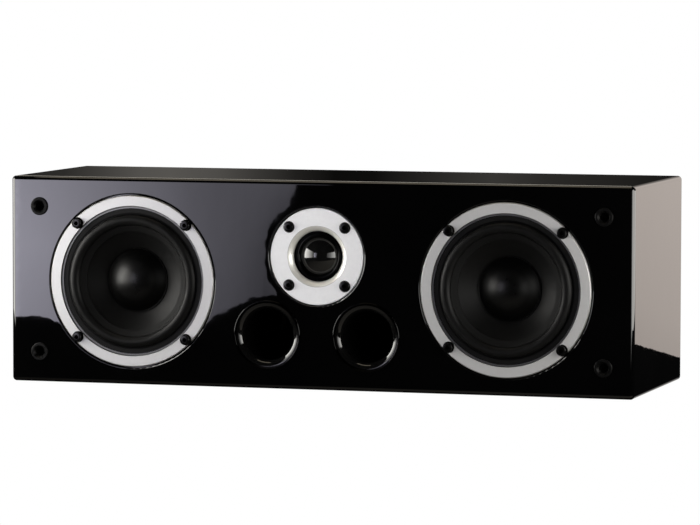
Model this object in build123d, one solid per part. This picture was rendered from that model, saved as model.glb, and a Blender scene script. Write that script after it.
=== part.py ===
from build123d import *
import os
from math import asin, cos, radians, sin

# Center channel speaker in millimetres: +X to the right seen from the front, +Y to the back, +Z up.
# The origin is the centre of the cabinet's bottom face. Depths are counted from the front face.

# Cabinet boards
CABINET_W = 465.0
CABINET_H = 150.0
CABINET_D = 156.0
EDGE_R = 3.0
BAFFLE_T = 18.0
WALL_T = 12.0
BACK_T = 12.0
BRACE_T = 10.0
BRACE_X = 73.0
BRACE_RAIL = 20.0
WADDING_T = 22.0

# Clearances shared by all the fits
RIM_GAP = 0.8
CUTOUT_GAP = 0.8
SLIP = 0.1
SCREW_GAP = 0.2
SOFT_GAP = 0.3
RUN_GAP = 0.05

# Cap screws with a hex socket
SCREW_R = 2.0
SCREW_L = 15.0
CAP_HEAD_R = 3.5
CAP_HEAD_H = 4.0
HEX_R = 1.75
HEX_DEPTH = 2.2
PILOT_SPARE = 1.0
SCREW_COUNT = 4
FIRST_SCREW = 45.0

# Woofers: trim ring and flange
WOOFER_X = 139.5
WOOFER_Z = 75.0
RING_R = 62.2
RING_FLAT_R = 54.7
RING_INNER_R = 53.0
RING_T = 3.0
RING_PROUD = 0.6
RING_BEVEL = 0.7
RING_STEP_W = 0.6
RING_STEP_D = 1.4
RING_BOLT_R = 58.5
REBATE_ROUND = 0.9
FLANGE_T = 2.0
GASKET_T = 1.0

# Woofers: moving parts and what holds them
ROLL_OUT_R = 48.4
ROLL_H = 3.4
RUBBER_T = 1.0
CONE_R = 40.0
CONE_T = 0.9
CONE_DEPTH = 14.6
LIP_W = 4.0
NECK_L = 4.0
CAP_R = 22.2
CAP_H = 8.6
CAP_T = 0.8
CAP_FLANGE_W = 0.9
FORMER_R = 13.1
FORMER_T = 0.4
FORMER_SPARE = 1.5
WINDING_T = 0.5
WINDING_H = 11.0
AIR_GAP = 0.5
SPIDER_T = 0.8
SPIDER_SPACE = 4.6
SPIDER_SEAT = 5.5
SPIDER_RIDGES = 2
SPIDER_RIDGE_H = 2.0

# Woofers: basket and motor
BASKET_R = 53.0
BASKET_T = 2.0
BASKET_COLLAR = 4.0
BASKET_BACK_R = 38.0
BASKET_PLATE_T = 2.0
LEDGE_R = 30.0
LEDGE_H = 7.0
WINDOW_COUNT = 6
WINDOW_W = 26.0
WINDOW_MARGIN = 2.0
TAG_W = 12.0
TAG_REACH = 10.0
TAG_ANGLE = 135.0
PLATE_R = 36.0
PLATE_T = 5.0
MAGNET_R = 40.0
MAGNET_T = 14.0
MAGNET_BORE = 17.0
YOKE_R = 37.0
YOKE_T = 5.0
VENT_R = 4.0

# Tweeter
TWEETER_Z = 95.8
FACE_R = 34.8
FACE_T = 4.0
FACE_RECESS = 0.8
FACE_BEVEL = 0.5
FACE_BOLT_R = 29.5
COUNTERBORE_R = 4.1
COUNTERBORE_D = 2.5
MOUTH_R = 18.2
MOUTH_FLARE = 3.7
MOUTH_BULGE = 0.46
HUB_R = 24.0
HUB_T = 4.0
HUB_H = 2.2
TWEETER_GASKET_T = 0.8
DOME_R = 14.0
DOME_H = 6.0
FILM_T = 0.3
FILM_ROLL_W = 2.4
FILM_ROLL_H = 1.0
FILM_R = 19.5
DOME_FORMER_T = 0.3
DOME_WINDING_T = 0.4
DOME_COIL_L = 5.5
POT_LIP_T = 4.0
POT_WALL = 6.5
POT_FLOOR = 3.0
POT_D = 17.0
POLE_T = 4.5
SLUG_R = 12.5

# Reflex ports
PORT_X = 37.0
PORT_Z = 38.9
PORT_BORE_R = 18.5
PORT_WALL = 2.2
PORT_FLARE = 5.1
PORT_LIP_W = 1.2
PORT_PROUD = 0.8
PORT_FLANGE_T = 3.0
PORT_L = 95.0

# Sockets for the grille's pegs
SOCKET_INSET = 21.9
SOCKET_R = 5.2
SOCKET_HEAD_R = 6.6
SOCKET_HEAD_T = 1.2
SOCKET_HEAD_ROUND = 0.7
SOCKET_BORE_R = 3.3
SOCKET_SLOPE_W = 1.4
SOCKET_LEAD = 0.4
SOCKET_BORE_D = 9.2
SOCKET_FLOOR = 1.8

# Terminal cup on the back
TERMINAL_Z = 75.0
CUP_W = 86.0
CUP_H = 66.0
CUP_T = 2.5
CUP_CORNER = 6.0
CUP_BEVEL = 1.0
DISH_W = 58.0
DISH_H = 38.0
DISH_D = 20.0
DISH_CORNER = 5.0
CUP_SCREW_INSET = 6.0
SMALL_SCREW_R = 1.5
SMALL_HEAD_R = 3.0
SMALL_HEAD_H = 2.2
SMALL_SCREW_L = 10.0

# Binding posts
POST_PITCH = 19.05
STUD_R = 3.0
STUD_L = 16.5
COLLAR_R = 5.5
COLLAR_T = 3.0
BANANA_R = 2.05
BANANA_D = 17.0
TAIL_R = 2.5
TAIL_L = 11.5
NUT_R = 4.6
NUT_T = 4.0
KNOB_R = 6.5
KNOB_L = 15.7
KNOB_BEVEL = 0.8
KNOB_FLUTES = 8
KNOB_FLUTE_R = 1.2
KNOB_FLUTE_OUT = 0.5

# Crossover board and its parts
BOARD_W = 90.0
BOARD_H = 80.0
BOARD_T = 1.6
BOARD_HOLE_INSET = 5.0
BOARD_END_GAP = 3.9
SPACER_R = 3.5
SPACER_L = 8.0
WOOFER_COIL_R = 19.0
WOOFER_COIL_H = 16.0
TWEETER_COIL_R = 12.0
TWEETER_COIL_H = 12.0
COIL_CORE_SHARE = 0.45
CAPACITOR_R = 8.0
CAPACITOR_L = 32.0
RESISTOR_W = 25.0
RESISTOR_H = 9.0
WOOFER_COIL_AT = (-8.0, -8.0)
TWEETER_COIL_AT = (27.0, -22.0)
CAPACITORS_AT = ((20.0, 26.0), (28.0, 6.0))
RESISTOR_AT = (-12.0, 18.0)

# Leads inside the cabinet, and where they land on the board
LEAD_R = 1.5
LEAD_BEND = 6.0
LEAD_ROOM = 9.0
LEFT_LEAD_AT = (-39.0, 22.0)
RIGHT_LEAD_AT = (-22.0, 31.0)
TWEETER_LEAD_AT = (-33.0, 10.0)
INPUT_LEADS_AT = {"left": (-38.0, -26.0), "right": (-38.0, -14.0)}

# Worked out from the driving sizes
SIDES = {"left": -1, "right": 1}
FRONT_Y = -CABINET_D / 2
BACK_INSIDE = CABINET_D - BACK_T
INSIDE_TOP = CABINET_H - WALL_T
RING_FRONT = -RING_PROUD
RING_BACK = RING_FRONT + RING_T
FLANGE_R = RING_R - SOFT_GAP
FLANGE_BACK = RING_BACK + FLANGE_T
WOOFER_SEAT = FLANGE_BACK + GASKET_T
CUTOUT_R = BASKET_R + CUTOUT_GAP
ROLL_IN_R = CONE_R + SOFT_GAP
ROLL_FOOT = RING_BACK - RUBBER_T
NECK_R = FORMER_R + SLIP
CONE_SLOPE = CONE_DEPTH / (CONE_R - NECK_R)
NECK_FRONT = RING_BACK + SOFT_GAP + (ROLL_IN_R - NECK_R) * CONE_SLOPE
LEDGE_FRONT = NECK_FRONT + NECK_L + SPIDER_SPACE
MOTOR_FRONT = LEDGE_FRONT + LEDGE_H
MAGNET_FRONT = MOTOR_FRONT + PLATE_T
YOKE_FRONT = MAGNET_FRONT + MAGNET_T
YOKE_BACK = YOKE_FRONT + YOKE_T
FACE_FRONT = FACE_RECESS
FACE_BACK = FACE_FRONT + FACE_T
FACE_SEAT = FACE_BACK + TWEETER_GASKET_T
HUB_BACK = FACE_BACK + HUB_H
POT_BACK = HUB_BACK + POT_D
HUB_CUTOUT_R = HUB_R + CUTOUT_GAP
PORT_LIP_R = PORT_BORE_R + PORT_FLARE + PORT_LIP_W
PORT_TUBE_R = PORT_BORE_R + PORT_WALL
SOCKET_X = CABINET_W / 2 - SOCKET_INSET
SOCKET_BACK = SOCKET_BORE_D + SOCKET_FLOOR
CUP_BACK = CABINET_D + CUP_T
DISH_FLOOR = CUP_BACK - DISH_D
COLLAR_BACK = DISH_FLOOR + COLLAR_T
WADDING_END = CABINET_W / 2 - WALL_T - SLIP - WADDING_T
BOARD_X = WADDING_END - BOARD_END_GAP - BOARD_W / 2
BOARD_Z = CABINET_H / 2
BOARD_FRONT = BACK_INSIDE - SPACER_L - BOARD_T


def place(x, z, shape):
    """Move a shape made about the depth axis to its place on the front."""
    return Pos(x, FRONT_Y, z) * shape


def turned(*outline):
    """Solid turned about the depth axis from points given as radius and depth."""
    return revolve(make_face(Polyline(*outline, close=True)), Axis.Y)


def turned_edges(*edges):
    """Solid turned about the depth axis from lines and arcs that close a profile."""
    return revolve(make_face([e for line in edges for e in line.edges()]), Axis.Y)


def rod(radius, start, end):
    """Round bar along the depth axis."""
    return Pos(0, (start + end) / 2, 0) * Rot(90, 0, 0) * Cylinder(radius, end - start)


def prism(sketch, start, end):
    """Front-view sketch drawn out between two depths."""
    plane = Plane((0, end, 0), x_dir=(1, 0, 0), z_dir=(0, -1, 0))
    return extrude(plane * sketch, amount=end - start)


def bolt_circle(radius):
    """Places of the screws round a driver."""
    turns = [radians(FIRST_SCREW + 360 * i / SCREW_COUNT) for i in range(SCREW_COUNT)]
    return [Pos(radius * cos(a), 0, radius * sin(a)) for a in turns]


def dome_arc(radius, rim, height):
    """Arc from a dome's pole, on the axis, out to its rim."""
    ball = (radius**2 + height**2) / (2 * height)
    half = asin(radius / ball) / 2
    centre = rim - height + ball
    middle = (ball * sin(half), centre - ball * cos(half))
    return ThreePointArc((0, rim - height), middle, (radius, rim))


def cap_screw(seat):
    """Cap screw with a hex socket, its head standing on the seat."""
    head = rod(CAP_HEAD_R, seat - CAP_HEAD_H, seat)
    key = prism(RegularPolygon(HEX_R, 6), seat - CAP_HEAD_H, seat - CAP_HEAD_H + HEX_DEPTH)
    return head - key + rod(SCREW_R, seat, seat + SCREW_L)


def small_screw(seat, toward):
    """Pan-head screw: its head stands on the seat, and its shank runs the way toward gives."""
    head = sorted((seat, seat - toward * SMALL_HEAD_H))
    shank = sorted((seat, seat + toward * SMALL_SCREW_L))
    return rod(SMALL_HEAD_R, *head) + rod(SMALL_SCREW_R, *shank)


def rounded_cut(radius, depth, rounding):
    """Round cutter for a rebate whose lip is rounded over."""
    mouth = radius + rounding
    bend = rounding * sin(radians(45))
    above = -RING_T
    return turned_edges(
        Polyline((mouth, 0), (mouth, above), (0, above), (0, depth), (radius, depth), (radius, rounding)),
        ThreePointArc((radius, rounding), (mouth - bend, rounding - bend), (mouth, 0)),
    )


def lip_front(r):
    """Depth of the front of the surround's inner lip, which lies along the cone."""
    return ROLL_FOOT + (ROLL_IN_R - r) * CONE_SLOPE


def cone_front(r):
    """Depth of the cone's front face."""
    return lip_front(r) + RUBBER_T + SOFT_GAP


def edges_off(box, y):
    """Edges of a box that don't lie in the plane at y."""
    return [e for e in box.edges() if abs(e.center().Y - y) > RUN_GAP]


def board(width, start, end, low, high):
    """Upright board centred on x = 0, between two depths and two heights."""
    size = Box(width, end - start, high - low)
    return Pos(0, FRONT_Y + (start + end) / 2, (low + high) / 2) * size


def front_baffle():
    """Thick front board with every rebate, cut-out and hole that the front pieces sit in."""
    panel = board(CABINET_W, 0, BAFFLE_T, 0, CABINET_H)
    panel = fillet(edges_off(panel, FRONT_Y + BAFFLE_T), EDGE_R)
    through = BAFFLE_T + PILOT_SPARE
    pilot = SCREW_R + SCREW_GAP
    woofer = rounded_cut(RING_R + RIM_GAP, WOOFER_SEAT, REBATE_ROUND) + rod(CUTOUT_R, 0, through)
    tweeter = rounded_cut(FACE_R + RIM_GAP, FACE_SEAT, REBATE_ROUND) + rod(HUB_CUTOUT_R, 0, through)
    port = rod(PORT_LIP_R + SLIP, -RING_T, PORT_FLANGE_T) + rod(PORT_TUBE_R + SLIP, 0, through)
    socket = rod(SOCKET_R + SLIP, -RING_T, through)
    cuts = [place(0, TWEETER_Z, tweeter)]
    face_tip = FACE_FRONT + COUNTERBORE_D + SCREW_L + PILOT_SPARE
    for spot in bolt_circle(FACE_BOLT_R):
        cuts.append(place(0, TWEETER_Z, spot * rod(pilot, 0, face_tip)))
    for side in SIDES.values():
        cuts.append(place(side * WOOFER_X, WOOFER_Z, woofer))
        cuts.append(place(side * PORT_X, PORT_Z, port))
        for spot in bolt_circle(RING_BOLT_R):
            hole = spot * rod(pilot, 0, RING_FRONT + SCREW_L + PILOT_SPARE)
            cuts.append(place(side * WOOFER_X, WOOFER_Z, hole))
        for z in (SOCKET_INSET, CABINET_H - SOCKET_INSET):
            cuts.append(place(side * SOCKET_X, z, socket))
    return panel - cuts


def cabinet_wrap():
    """Top, bottom and ends, folded from one board and open at the front and back."""
    shell = board(CABINET_W, BAFFLE_T, CABINET_D, 0, CABINET_H)
    shell = fillet(edges_off(shell, FRONT_Y + BAFFLE_T), EDGE_R)
    return shell - board(CABINET_W - 2 * WALL_T, 0, 2 * CABINET_D, WALL_T, INSIDE_TOP)


def cup_screw_places():
    """Places of the terminal cup's screws, seen from the front."""
    x = CUP_W / 2 - CUP_SCREW_INSET
    z = CUP_H / 2 - CUP_SCREW_INSET
    return [(sx * x, TERMINAL_Z + sz * z) for sx in (-1, 1) for sz in (-1, 1)]


def board_screw_places():
    """Places of the crossover board's screws."""
    x = BOARD_W / 2 - BOARD_HOLE_INSET
    z = BOARD_H / 2 - BOARD_HOLE_INSET
    return [(BOARD_X + sx * x, BOARD_Z + sz * z) for sx in (-1, 1) for sz in (-1, 1)]


def back_panel():
    """Back board set between the walls, with the terminal cut-out and its pilot holes."""
    width = CABINET_W - 2 * WALL_T - 2 * SLIP
    panel = board(width, BACK_INSIDE, CABINET_D, WALL_T + SLIP, INSIDE_TOP - SLIP)
    rim = 2 * (CUP_T + CUTOUT_GAP)
    opening = RectangleRounded(DISH_W + rim, DISH_H + rim, DISH_CORNER + rim / 2)
    panel -= place(0, TERMINAL_Z, prism(opening, BACK_INSIDE - BACK_T, CUP_BACK))
    hole = rod(SMALL_SCREW_R + SCREW_GAP, BACK_INSIDE - BACK_T, CUP_BACK)
    for x, z in cup_screw_places():
        panel -= place(x, z, hole)
    blind = rod(SMALL_SCREW_R + SCREW_GAP, BOARD_FRONT, BOARD_FRONT + SMALL_SCREW_L + 2 * BOARD_T)
    for x, z in board_screw_places():
        panel -= place(x, z, blind)
    return panel


def brace(side):
    """Window brace that ties the front, back, top and bottom boards together."""
    tall = board(BRACE_T, BAFFLE_T, BACK_INSIDE, WALL_T, INSIDE_TOP)
    low = WALL_T + BRACE_RAIL
    high = INSIDE_TOP - BRACE_RAIL
    window = board(2 * BRACE_T, BAFFLE_T + BRACE_RAIL, BACK_INSIDE - BRACE_RAIL, low, high)
    return Pos(side * BRACE_X, 0, 0) * (tall - window)


def left_wadding():
    """Slab of wadding on the back board behind the left woofer."""
    inner = BRACE_X + BRACE_T / 2 + SOFT_GAP
    outer = CABINET_W / 2 - WALL_T - SOFT_GAP
    start = BACK_INSIDE - SLIP - WADDING_T
    slab = board(outer - inner, start, BACK_INSIDE - SLIP, WALL_T + SOFT_GAP, INSIDE_TOP - SOFT_GAP)
    return Pos(-(inner + outer) / 2, 0, 0) * slab


def right_wadding():
    """Slab of wadding on the right end, behind the woofer's motor and beside the crossover board."""
    x = WADDING_END + WADDING_T / 2
    start = YOKE_BACK + SOFT_GAP
    slab = board(WADDING_T, start, BACK_INSIDE - SOFT_GAP, WALL_T + SOFT_GAP, INSIDE_TOP - SOFT_GAP)
    return Pos(x, 0, 0) * slab


def trim_ring():
    """Flat silver ring with a beveled rim and a step down to a narrow ledge inside."""
    ledge = RING_FRONT + RING_STEP_D
    ring = turned(
        (RING_INNER_R, RING_BACK),
        (RING_R, RING_BACK),
        (RING_R, RING_FRONT + RING_BEVEL),
        (RING_R - RING_BEVEL, RING_FRONT),
        (RING_FLAT_R, RING_FRONT),
        (RING_FLAT_R - RING_STEP_W, ledge),
        (RING_INNER_R, ledge),
    )
    for spot in bolt_circle(RING_BOLT_R):
        ring -= spot * rod(SCREW_R + SCREW_GAP, RING_FRONT, RING_BACK)
    return ring


def woofer_frame():
    """Cast basket: flange, spokes between windows, spider ledge, back plate and terminal tag."""
    collar = FLANGE_BACK + BASKET_COLLAR
    plate = MOTOR_FRONT - BASKET_PLATE_T
    taper = (BASKET_R - BASKET_BACK_R) / (plate - collar)
    ledge_out = BASKET_R - BASKET_T - (LEDGE_FRONT - collar) * taper
    bore = FORMER_R + WINDING_T + 2 * AIR_GAP
    frame = turned(
        (ROLL_OUT_R + 2 * SOFT_GAP, RING_BACK),
        (FLANGE_R, RING_BACK),
        (FLANGE_R, FLANGE_BACK),
        (BASKET_R, FLANGE_BACK),
        (BASKET_R, collar),
        (BASKET_BACK_R, plate),
        (BASKET_BACK_R, MOTOR_FRONT),
        (bore, MOTOR_FRONT),
        (bore, plate),
        (LEDGE_R, plate),
        (LEDGE_R, LEDGE_FRONT),
        (ledge_out, LEDGE_FRONT),
        (BASKET_R - BASKET_T, collar),
        (BASKET_R - BASKET_T, FLANGE_BACK),
        (ROLL_OUT_R + 2 * SOFT_GAP, FLANGE_BACK),
    )
    start = collar + WINDOW_MARGIN
    end = LEDGE_FRONT - WINDOW_MARGIN
    window = Pos(BASKET_R, (start + end) / 2, 0) * Box(BASKET_R, end - start, WINDOW_W)
    for i in range(WINDOW_COUNT):
        frame -= Rot(0, 360 * (i + 0.5) / WINDOW_COUNT, 0) * window
    for spot in bolt_circle(RING_BOLT_R):
        frame -= spot * rod(SCREW_R + SCREW_GAP, RING_BACK, FLANGE_BACK)
    tag_in = BASKET_BACK_R - BASKET_T
    tag_out = BASKET_BACK_R + TAG_REACH
    tag_box = Box(tag_out - tag_in, BASKET_PLATE_T, TAG_W)
    tag = Pos((tag_in + tag_out) / 2, MOTOR_FRONT - BASKET_PLATE_T / 2, 0) * tag_box
    return frame + Rot(0, -TAG_ANGLE, 0) * tag


def flange_gasket(inner, outer, start, end, bolt_r):
    """Foam ring between a driver's flange and its seat."""
    ring = turned((inner, start), (outer, start), (outer, end), (inner, end))
    for spot in bolt_circle(bolt_r):
        ring -= spot * rod(SCREW_R + SCREW_GAP, start, end)
    return ring


def surround():
    """Rubber half roll with a flat outer lip and an inner lip that lies along the cone."""
    lip_r = RING_INNER_R - SOFT_GAP
    inner_r = CONE_R - LIP_W
    middle = (ROLL_OUT_R + ROLL_IN_R) / 2
    crest = ROLL_FOOT - ROLL_H
    roll_front = ThreePointArc((ROLL_OUT_R, ROLL_FOOT), (middle, crest), (ROLL_IN_R, ROLL_FOOT))
    under_in = (ROLL_IN_R + RUBBER_T, RING_BACK)
    under_out = (ROLL_OUT_R - RUBBER_T, RING_BACK)
    roll_back = ThreePointArc(under_in, (middle, crest + RUBBER_T), under_out)
    inner_lip = Polyline(
        (ROLL_IN_R, ROLL_FOOT),
        (inner_r, lip_front(inner_r)),
        (inner_r, lip_front(inner_r) + RUBBER_T),
        (ROLL_IN_R, RING_BACK),
        under_in,
    )
    outer_lip = Polyline(under_out, (lip_r, RING_BACK), (lip_r, ROLL_FOOT), (ROLL_OUT_R, ROLL_FOOT))
    return turned_edges(roll_front, inner_lip, roll_back, outer_lip)


def cone():
    """Straight-sided cone with a neck that is glued to the voice coil."""
    neck_out = NECK_R + CONE_T
    return turned(
        (CONE_R, cone_front(CONE_R)),
        (NECK_R, cone_front(NECK_R)),
        (NECK_R, NECK_FRONT + NECK_L),
        (neck_out, NECK_FRONT + NECK_L),
        (neck_out, cone_front(neck_out) + CONE_T),
        (CONE_R, cone_front(CONE_R) + CONE_T),
    )


def dust_cap():
    """Domed cap with a narrow flange glued to the cone."""
    def back(r):
        return cone_front(r) - SLIP

    flange_r = CAP_R + CAP_FLANGE_W
    crease = back(CAP_R) - CAP_T
    pole = crease - CAP_H
    inside_r = CAP_R - CAP_T / 2
    inside = dome_arc(inside_r, back(inside_r), back(inside_r) - pole - CAP_T)
    flange = Polyline(
        (inside_r, back(inside_r)),
        (flange_r, back(flange_r)),
        (flange_r, back(flange_r) - CAP_T),
        (CAP_R, crease),
    )
    return turned_edges(
        Line((0, pole), (0, pole + CAP_T)), inside, flange, dome_arc(CAP_R, crease, CAP_H)
    )


def voice_coil():
    """Former tube with its winding centred in the magnet's gap."""
    inside = FORMER_R - FORMER_T
    outside = FORMER_R + WINDING_T
    start = MOTOR_FRONT + PLATE_T / 2 - WINDING_H / 2
    end = start + WINDING_H
    return turned(
        (inside, NECK_FRONT - FORMER_SPARE),
        (FORMER_R, NECK_FRONT - FORMER_SPARE),
        (FORMER_R, start),
        (outside, start),
        (outside, end),
        (FORMER_R, end),
        (FORMER_R, end + FORMER_SPARE),
        (inside, end + FORMER_SPARE),
    )


def spider():
    """Centring disc with pressed ridges, its rim glued to the basket's ledge."""
    inner = FORMER_R + SOFT_GAP
    start = inner + SPIDER_SPACE / 2
    step = (LEDGE_R - SPIDER_SPACE / 2 - start) / (2 * SPIDER_RIDGES)
    line = [(inner, 0)]
    for i in range(2 * SPIDER_RIDGES + 1):
        line.append((start + i * step, -SPIDER_RIDGE_H * (i % 2)))
    line.append((LEDGE_R + SPIDER_SEAT, 0))
    back = [(r, LEDGE_FRONT + t) for r, t in line]
    front = [(r, LEDGE_FRONT + t - SPIDER_T) for r, t in line]
    return turned(*front, *reversed(back))


def top_plate():
    """Steel ring that closes the magnet's gap from outside."""
    gap = FORMER_R + WINDING_T + AIR_GAP
    return turned(
        (gap, MOTOR_FRONT), (PLATE_R, MOTOR_FRONT), (PLATE_R, MAGNET_FRONT), (gap, MAGNET_FRONT)
    )


def magnet():
    """Ferrite ring."""
    return turned(
        (MAGNET_BORE, MAGNET_FRONT),
        (MAGNET_R, MAGNET_FRONT),
        (MAGNET_R, YOKE_FRONT),
        (MAGNET_BORE, YOKE_FRONT),
    )


def yoke():
    """Back plate and vented pole in one turned piece."""
    pole = FORMER_R - FORMER_T - AIR_GAP
    return turned(
        (VENT_R, MOTOR_FRONT),
        (pole, MOTOR_FRONT),
        (pole, YOKE_FRONT),
        (YOKE_R, YOKE_FRONT),
        (YOKE_R, YOKE_BACK),
        (VENT_R, YOKE_BACK),
    )


def woofer_screws():
    """Cap screws that stand on the trim ring."""
    return Compound(children=[spot * cap_screw(RING_FRONT) for spot in bolt_circle(RING_BOLT_R)])


def tweeter_faceplate():
    """Silver plate with a trumpet-shaped mouth, counterbored screw holes and a rear hub."""
    mouth = MOUTH_R + MOUTH_FLARE
    bend = MOUTH_FLARE / 2 + MOUTH_BULGE * sin(radians(45))
    depth = FACE_FRONT + MOUTH_FLARE
    flare = ThreePointArc((mouth, FACE_FRONT), (mouth - bend, depth - bend), (MOUTH_R, depth))
    body = Polyline(
        (MOUTH_R, depth),
        (MOUTH_R, FACE_BACK),
        (HUB_R - HUB_T, FACE_BACK),
        (HUB_R - HUB_T, HUB_BACK),
        (HUB_R, HUB_BACK),
        (HUB_R, FACE_BACK),
        (FACE_R, FACE_BACK),
        (FACE_R, FACE_FRONT + FACE_BEVEL),
        (FACE_R - FACE_BEVEL, FACE_FRONT),
        (mouth, FACE_FRONT),
    )
    plate = turned_edges(flare, body)
    for spot in bolt_circle(FACE_BOLT_R):
        plate -= spot * rod(SCREW_R + SCREW_GAP, FACE_FRONT, FACE_BACK)
        plate -= spot * rod(COUNTERBORE_R, FACE_FRONT, FACE_FRONT + COUNTERBORE_D)
    return plate


def tweeter_screws():
    """Cap screws sunk into the faceplate's counterbores."""
    seat = FACE_FRONT + COUNTERBORE_D
    return Compound(children=[spot * cap_screw(seat) for spot in bolt_circle(FACE_BOLT_R)])


def tweeter_dome():
    """Dome, roll and flat rim pressed from one film."""
    rim = HUB_BACK - FILM_T
    roll_out = DOME_R + FILM_ROLL_W
    roll_middle = (DOME_R + roll_out) / 2
    inner_r = DOME_R - FILM_T
    outside = dome_arc(DOME_R, rim, DOME_H)
    inside = dome_arc(inner_r, HUB_BACK, DOME_H)
    roll = ThreePointArc((DOME_R, rim), (roll_middle, rim - FILM_ROLL_H), (roll_out, rim))
    under_start = (DOME_R + FILM_T, HUB_BACK)
    under_end = (roll_out - FILM_T, HUB_BACK)
    under = ThreePointArc(under_start, (roll_middle, HUB_BACK - FILM_ROLL_H), under_end)
    edge = Polyline((roll_out, rim), (FILM_R, rim), (FILM_R, HUB_BACK), under_end)
    foot = Line(under_start, (inner_r, HUB_BACK))
    axis = Line((0, HUB_BACK - DOME_H), (0, rim - DOME_H))
    return turned_edges(outside, roll, edge, under, foot, inside, axis)


def tweeter_voice_coil():
    """Short former under the dome's edge, with its winding in the gap."""
    inside = DOME_R - DOME_FORMER_T
    start = HUB_BACK + RUN_GAP
    wound = start + DOME_COIL_L / 3
    end = start + DOME_COIL_L
    outside = DOME_R + DOME_WINDING_T
    return turned(
        (inside, start), (DOME_R, start), (DOME_R, wound), (outside, wound), (outside, end), (inside, end)
    )


def tweeter_yoke():
    """Steel pot whose front lip is the outer side of the gap."""
    gap = DOME_R + DOME_WINDING_T + AIR_GAP
    wall = HUB_R - POT_WALL
    floor = POT_BACK - POT_FLOOR
    return turned(
        (gap, HUB_BACK),
        (HUB_R, HUB_BACK),
        (HUB_R, POT_BACK),
        (0, POT_BACK),
        (0, floor),
        (wall, floor),
        (wall, HUB_BACK + POT_LIP_T),
        (gap, HUB_BACK + POT_LIP_T),
    )


def tweeter_pole_plate():
    """Steel disc on the magnet, the inner side of the gap."""
    radius = DOME_R - DOME_FORMER_T - AIR_GAP
    return rod(radius, HUB_BACK + AIR_GAP, HUB_BACK + AIR_GAP + POLE_T)


def tweeter_magnet():
    """Magnet disc between the pot's floor and the pole plate."""
    return rod(SLUG_R, HUB_BACK + AIR_GAP + POLE_T, POT_BACK - POT_FLOOR)


def port_tube():
    """Flared port with a thin raised lip, a flange and a straight tube."""
    foot = PORT_LIP_W / 2 - PORT_PROUD
    mouth = PORT_BORE_R + PORT_FLARE
    bend = PORT_FLARE * sin(radians(45))
    throat = foot + PORT_FLARE
    flare = ThreePointArc((PORT_BORE_R, throat), (mouth - bend, throat - bend), (mouth, foot))
    lip = ThreePointArc((mouth, foot), (mouth + PORT_LIP_W / 2, -PORT_PROUD), (PORT_LIP_R, foot))
    body = Polyline(
        (PORT_LIP_R, foot),
        (PORT_LIP_R, PORT_FLANGE_T),
        (PORT_TUBE_R, PORT_FLANGE_T),
        (PORT_TUBE_R, PORT_L),
        (PORT_BORE_R, PORT_L),
        (PORT_BORE_R, throat),
    )
    return turned_edges(flare, lip, body)


def grille_socket():
    """Moulded socket with a rounded head and a funnel that leads a peg into its blind bore."""
    funnel = SOCKET_BORE_R + SOCKET_SLOPE_W
    shoulder = SOCKET_HEAD_R - SOCKET_HEAD_ROUND
    bend = SOCKET_HEAD_ROUND * sin(radians(45))
    top = -SOCKET_HEAD_T
    corner = (shoulder + bend, top + SOCKET_HEAD_ROUND - bend)
    head = ThreePointArc((shoulder, top), corner, (SOCKET_HEAD_R, top + SOCKET_HEAD_ROUND))
    body = Polyline(
        (SOCKET_HEAD_R, top + SOCKET_HEAD_ROUND),
        (SOCKET_HEAD_R, 0),
        (SOCKET_R, 0),
        (SOCKET_R, SOCKET_BACK),
        (0, SOCKET_BACK),
        (0, SOCKET_BORE_D),
        (SOCKET_BORE_R, SOCKET_BORE_D),
        (SOCKET_BORE_R, SOCKET_LEAD),
        (funnel, top),
        (shoulder, top),
    )
    return turned_edges(head, body)


def grille_sockets():
    """The sockets near the cabinet's corners."""
    heights = (SOCKET_INSET, CABINET_H - SOCKET_INSET)
    spots = [(side * SOCKET_X, z) for side in SIDES.values() for z in heights]
    return Compound(children=[place(x, z, grille_socket()) for x, z in spots])


def terminal_cup():
    """Moulded flange with a beveled rim and a dish that the binding posts stand in."""
    flange = prism(RectangleRounded(CUP_W, CUP_H, CUP_CORNER), CABINET_D, CUP_BACK)
    flange = chamfer(flange.edges().group_by(Axis.Y)[-1], CUP_BEVEL)
    outside = RectangleRounded(DISH_W + 2 * CUP_T, DISH_H + 2 * CUP_T, DISH_CORNER + CUP_T)
    cup = flange + prism(outside, DISH_FLOOR - CUP_T, CUP_BACK)
    cup -= prism(RectangleRounded(DISH_W, DISH_H, DISH_CORNER), DISH_FLOOR, CUP_BACK)
    for side in SIDES.values():
        cup -= Pos(side * POST_PITCH / 2, 0, 0) * rod(TAIL_R + SLIP, DISH_FLOOR - CUP_T, DISH_FLOOR)
    cup = place(0, TERMINAL_Z, cup)
    for x, z in cup_screw_places():
        cup -= place(x, z, rod(SMALL_SCREW_R + SCREW_GAP, CABINET_D, CUP_BACK))
    return cup


def terminal_screws():
    """Pan-head screws that hold the terminal cup."""
    screws = [place(x, z, small_screw(CUP_BACK, -1)) for x, z in cup_screw_places()]
    return Compound(children=screws)


def binding_post():
    """Metal post: threaded tail, collar on the dish's floor, stud with a plug bore in its end."""
    end = COLLAR_BACK + STUD_L
    tail = DISH_FLOOR - TAIL_L
    return turned(
        (0, tail),
        (TAIL_R, tail),
        (TAIL_R, DISH_FLOOR),
        (COLLAR_R, DISH_FLOOR),
        (COLLAR_R, COLLAR_BACK),
        (STUD_R, COLLAR_BACK),
        (STUD_R, end),
        (BANANA_R, end),
        (BANANA_R, end - BANANA_D),
        (0, end - BANANA_D),
    )


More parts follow.
